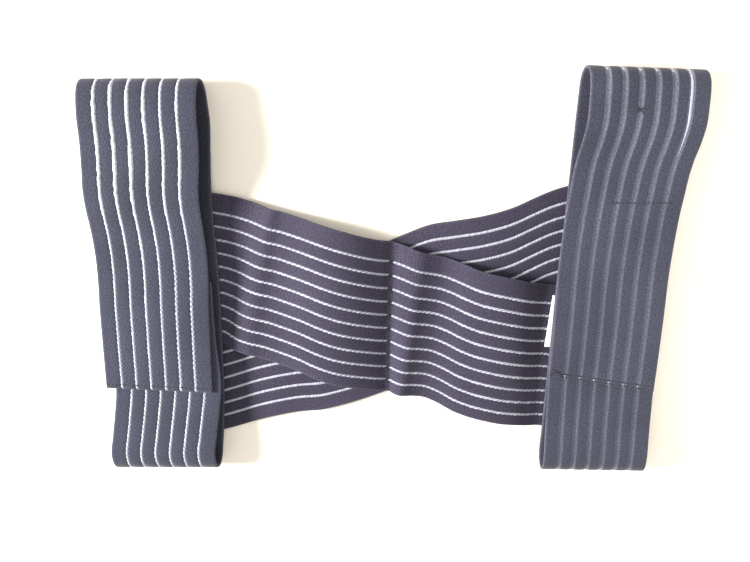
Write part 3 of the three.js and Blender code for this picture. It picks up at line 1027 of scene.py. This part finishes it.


# thinner floats dim the stripes there: a painted shade for the shadowed left end and the seam's valley
def over_fullness(along):
    """Floats that thin out at the over band's left end and beside the seam, partly as painted shade where
    the band lies in shadow.
    """
    rows = [
        (0.0, 0.72),
        (40.0, 0.94),
        (seam_along - 50.0, 1.0),
        (seam_along - 10.0, 0.75),
        (seam_along + 5.0, 0.78),
        (seam_along + 60.0, 1.08),
        (over_end, 1.0),
    ]
    return np.interp(along, *zip(*rows))


over_runs = [(0.0, seam_along - SEAM_CLEAR), (seam_along + SEAM_CLEAR, over_end)]
over_floats = band_floats("over_band_white_floats", over_strip, over_runs, over_fullness, SAWTOOTH_FLOATS)
under_runs = [(0.0, under_strip.stations[-1])]
under_floats = band_floats("under_band_white_floats", under_strip, under_runs, UNDER_FULLNESS, SMOOTH_FLOATS)

# %% [markdown]
# ## Stitches
# The brace is lockstitched with slate thread: a row across each lap's cut end, a short piece of the row
# that holds the right lap's hidden end, and the vertical seam that joins the two bands, sewn as two close
# rows whose dark thread also paints the shade of the crease along the seam. The right lap's cut edge is
# also overlocked with a softer slate thread, dark enough to paint the shadow that the edge throws. Drawn
# lines would look flat here, so the same tree lays the stitches, with thinner beads.

# %% Stitch sizes
STITCH_LIFT = 0.7  # height of a stitch's middle above the middle of the webbing
STITCHES = {
    "Pitch": 2.8 * MM,
    "Length": 2.4 * MM,
    "Width": 0.85 * MM,
    "Height": 0.5 * MM,
    "Slant": 0.0,
    "Unevenness": 0.15,
    "Seed": SEED,
    "Thread": DARK_THREAD,
}
OVERLOCK = {**STITCHES, "Pitch": 2.1 * MM, "Slant": math.radians(12), "Thread": OVERLOCK_AND_SHADOW_THREAD}

# %% Stitch rows
SEWN_MARGIN = 1.5  # how far a row of stitches stays from the webbing's edges
LEFT_ROW, RIGHT_ROW = 3.0, 3.2  # how far before a strap's cut end its row runs
# the overlock's dark beads are stitching and also a painted shadow under the right lap's cut edge
OVERLOCK_ROW = 0.7  # and how far before the right one its overlock runs
HIDDEN_END = {"y": 56.0, "from": 26.0, "to": 66.0}  # where the row of the right lap's hidden end shows
KNOT_ROW = 2.0  # a few stitches, this far to both sides of its stripe, hold the knotted yarn
# the seam is real, but its two close rows of dark thread also paint the shade of the crease along it
SEAM_SHADE_ROWS = (-0.6, 0.6)  # the seam's two rows, beside its middle
right_end = right_strip.stations[-1]
strap_row = (SEWN_MARGIN, STRAP["width"] - SEWN_MARGIN)
band_row = (SEWN_MARGIN, OVER_BAND["width"] - SEWN_MARGIN)
hidden_row = (HIDDEN_END["from"], HIDDEN_END["to"])
broken_stripe = stripe_places(STRAP)[KNOT["stripe"]]
knot_row = (broken_stripe - KNOT_ROW, broken_stripe + KNOT_ROW)
left_rows = [row_path(left_strip, front_end - LEFT_ROW, *strap_row, STITCH_LIFT)]
right_rows = [
    row_path(right_strip, right_end - RIGHT_ROW, *strap_row, STITCH_LIFT),
    row_path(right_strip, along_at(right_strip, "front", HIDDEN_END["y"]), *hidden_row, STITCH_LIFT),
    row_path(right_strip, along_at(right_strip, "front", KNOT["y"]), *knot_row, STITCH_LIFT),
]
right_edge = [row_path(right_strip, right_end - OVERLOCK_ROW, *strap_row, STITCH_LIFT)]
seam_rows = [row_path(over_strip, seam_along + beside, *band_row, STITCH_LIFT) for beside in SEAM_SHADE_ROWS]

# %% Loose threads
HAIRS = {**STITCHES, "Pitch": 0.7 * MM, "Length": 1.3 * MM, "Width": 0.4 * MM, "Height": 0.4 * MM}
OVERLOCK_HAIRS = {**HAIRS, "Thread": OVERLOCK_AND_SHADOW_THREAD}
HAIR_LIFT = STITCH_LIFT + 0.2  # a loose thread lies on top of the stitches
HAIR_POINTS = 12
# a thread's start and end, each as how far before the cut end and how far across, and its bow to one side
RIGHT_HAIRS = [
    ((6.0, 2.5), (0.5, 9.0), 1.2),
    ((5.0, 7.5), (1.5, 1.5), -0.8),
    ((2.5, 8.0), (3.5, 15.0), 0.6),
]
LEFT_HAIRS = [((1.2, 4.0), (3.6, 9.5), 0.8)]


def loose_thread(strip, start, end, bow):
    """A thread end that lies on the cloth between two spots near the cut end and bows to one side."""
    share = np.linspace(0.0, 1.0, HAIR_POINTS)
    first, last = [strip.stations[-1] - before for before, _ in (start, end)]
    along = first + share * (last - first)
    across = start[1] + share * (end[1] - start[1]) + 4 * bow * share * (1 - share)
    return *strip.spot(along, across, HAIR_LIFT), 1.0


right_hairs = [loose_thread(right_strip, *row) for row in RIGHT_HAIRS]
left_hairs = [loose_thread(left_strip, *row) for row in LEFT_HAIRS]

# %% Yarn ends at the right lap's cut edge
STUBS = {**FLOATS, "Pitch": 1.0 * MM, "Length": 1.8 * MM, "Width": 1.6 * MM, "Thread": GREY_YARN}
STUB_YARN = (1.8, 0.6)  # the ends lie between these distances before the cut end
right_stubs = [
    stripe_path(right_strip, stripe, *[right_end - before for before in STUB_YARN], FLOAT_LIFT)
    for stripe in range(STRAP["stripes"])
]

# %% Sewing
SEWING = {
    "left_loop_stitches": (left_rows, STITCHES),
    "right_loop_stripe_ends": (right_stubs, STUBS),
    "left_loop_loose_thread": (left_hairs, OVERLOCK_HAIRS),
    "right_loop_stitches": (right_rows, STITCHES),
    "right_loop_overlock_and_painted_shadow": (right_edge, OVERLOCK),
    "right_loop_loose_threads": (right_hairs, HAIRS),
    "band_seam_stitches_and_painted_shade": (seam_rows, STITCHES),
}
sewn = {
    name: grown(name, path_mesh(name + "_paths", paths), thread_tree, sizes)
    for name, (paths, sizes) in SEWING.items()
}

# %% [markdown]
# ## The label
# A blank white tab of woven tape shows as a sliver at the right loop's inner edge. It is a strip like the
# others, only small, thin and without stripes, so the same function makes it. Its weave is too fine for
# ribs.

# %% Label
LABEL = {"width": 16.0, "thickness": 0.9, "stripes": 0, "spacing": 1.0, "first": 0.0}
LABEL_LENGTH = 37.5
LABEL_MIDDLE = (120.2, -28.3, 4.1)
LABEL_TURN = math.radians(-5)


def label_strip():
    """The tab, which runs down the picture and leans by its turn."""
    stations = stations_along(LABEL_LENGTH)
    run = np.array([math.sin(LABEL_TURN), -math.cos(LABEL_TURN), 0.0])
    across = np.array([-run[1], run[0], 0.0]) * LABEL["width"]
    centres = np.array(LABEL_MIDDLE) + (stations - LABEL_LENGTH / 2)[:, None] * run
    return Strip(LABEL, stations, centres, np.tile(across, (len(stations), 1)))


# the tape is a plain weave in bleached polyester, which gives a soft, even white
LABEL_CLOTH = woven_elastic(
    "label_tape_woven",
    {"dark": "#f1f0ec", "light": "#ffffff", "dull": "#f4f3f0", "white": "#ffffff", "edge": "#ffffff"},
    BAND_LEAN,
    twill_share=0.5,
)
label = webbing_piece("blank_label_tab", label_strip(), good_face_out, LABEL_CLOTH)

# %% [markdown]
# ## Floor, light and air
# The brace lies on a plain pale sheet in soft daylight: a large low window on the left, which throws the
# left loop's shadow on the band beside it, and a bright room that fills the shadows. A softbox and a
# white world do the same in a studio, and a low strip panel on the right lightens the right loop's shadow
# on the floor.

# %% Floor
FLOOR_SIZE = 6.0
FLOOR_DROP = 0.2 * MM  # how far the floor lies below the webbing, so that the two don't share a plane
# a bleached cotton sheet, woven so finely that it gives one warm white
FLOOR_CLOTH = spun_yarn("pale_sheet_woven", "#faf1e0", "#fff8e9", 0.9)
half = FLOOR_SIZE / 2
corners = [(-half, -half), (half, -half), (half, half), (-half, half)]
floor_mesh = bpy.data.meshes.new("floor")
floor_mesh.from_pydata([(x, y, -FLOOR_DROP) for x, y in corners], [], [(0, 1, 2, 3)])
floor_mesh.materials.append(FLOOR_CLOTH)
floor = bpy.data.objects.new("floor", floor_mesh)
bpy.context.scene.collection.objects.link(floor)
print("floor", FLOOR_SIZE, "m wide")

# %% Lights
KEY_DISTANCE = 1.4  # from the middle of the brace, in metres as all of the stage
KEY_HEIGHT_ANGLE = math.radians(21.5)  # above the floor
KEY_TURN = math.radians(175)  # from +X, so it stands on the left
KEY_PLACE = Vector((
    KEY_DISTANCE * math.cos(KEY_HEIGHT_ANGLE) * math.cos(KEY_TURN),
    KEY_DISTANCE * math.cos(KEY_HEIGHT_ANGLE) * math.sin(KEY_TURN),
    KEY_DISTANCE * math.sin(KEY_HEIGHT_ANGLE),
))
KEY_AIM = Vector((0.0, 0.0, 0.0))
KEY_SIZE = 0.34
KEY_POWER = 63.0
FILL_PLACE = Vector((0.34, 0.0, 0.06))  # low beside the right loop
FILL_AIM = Vector((0.225, -0.01, 0.0))  # the floor in that loop's shadow
FILL_LENGTH = 0.34
FILL_HEIGHT = 0.06
FILL_POWER = 0.34


def area_light(name, shape, size, power, place, aim):
    """An area light that stands at its place and faces its aim."""
    light = bpy.data.objects.new(name, bpy.data.lights.new(name, "AREA"))
    light.data.shape = shape
    light.data.size = size
    light.data.energy = power
    light.location = place
    light.rotation_euler = (aim - place).to_track_quat("-Z", "Y").to_euler()
    bpy.context.scene.collection.objects.link(light)
    return light


key = area_light("softbox", "DISK", KEY_SIZE, KEY_POWER, KEY_PLACE, KEY_AIM)
fill = area_light("fill_panel", "RECTANGLE", FILL_LENGTH, FILL_POWER, FILL_PLACE, FILL_AIM)
fill.data.size_y = FILL_HEIGHT
print("lights:", key.name, "and", fill.name)

# %% Room
ROOM_COLOUR = "#fffdfb"
ROOM_STRENGTH = 0.94
world = bpy.data.worlds.new("bright_room")
world.use_nodes = True
background = world.node_tree.nodes["Background"]
background.inputs["Color"].default_value = linear(ROOM_COLOUR)
background.inputs["Strength"].default_value = ROOM_STRENGTH
bpy.context.scene.world = world
bpy.context.scene.view_settings.view_transform = "Standard"

# %% [markdown]
# ## Tie the pieces to the frame
# Every piece rides on the model's one body. The five main pieces stand for the five solids, whose CAD
# parts are hidden.

# %% Frame
STANDS_FOR = {
    left_loop: "left_shoulder_loop",
    right_loop: "right_shoulder_loop",
    over_band: "cross_band_over",
    under_band: "cross_band_under",
    label: "label",
}
SLOTS = {
    "strap_webbing": [left_loop, right_loop, left_floats, left_beads, right_floats],
    "band_webbing": [over_band, under_band, over_floats, under_floats],
    "label_cloth": [label],
}
for name, piece in sewn.items():
    SLOTS["band_webbing" if name.startswith("band") else "strap_webbing"].append(piece)
for slot, pieces in SLOTS.items():
    for piece in pieces:
        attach(piece, "root")
for piece, node in STANDS_FOR.items():
    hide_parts(node)
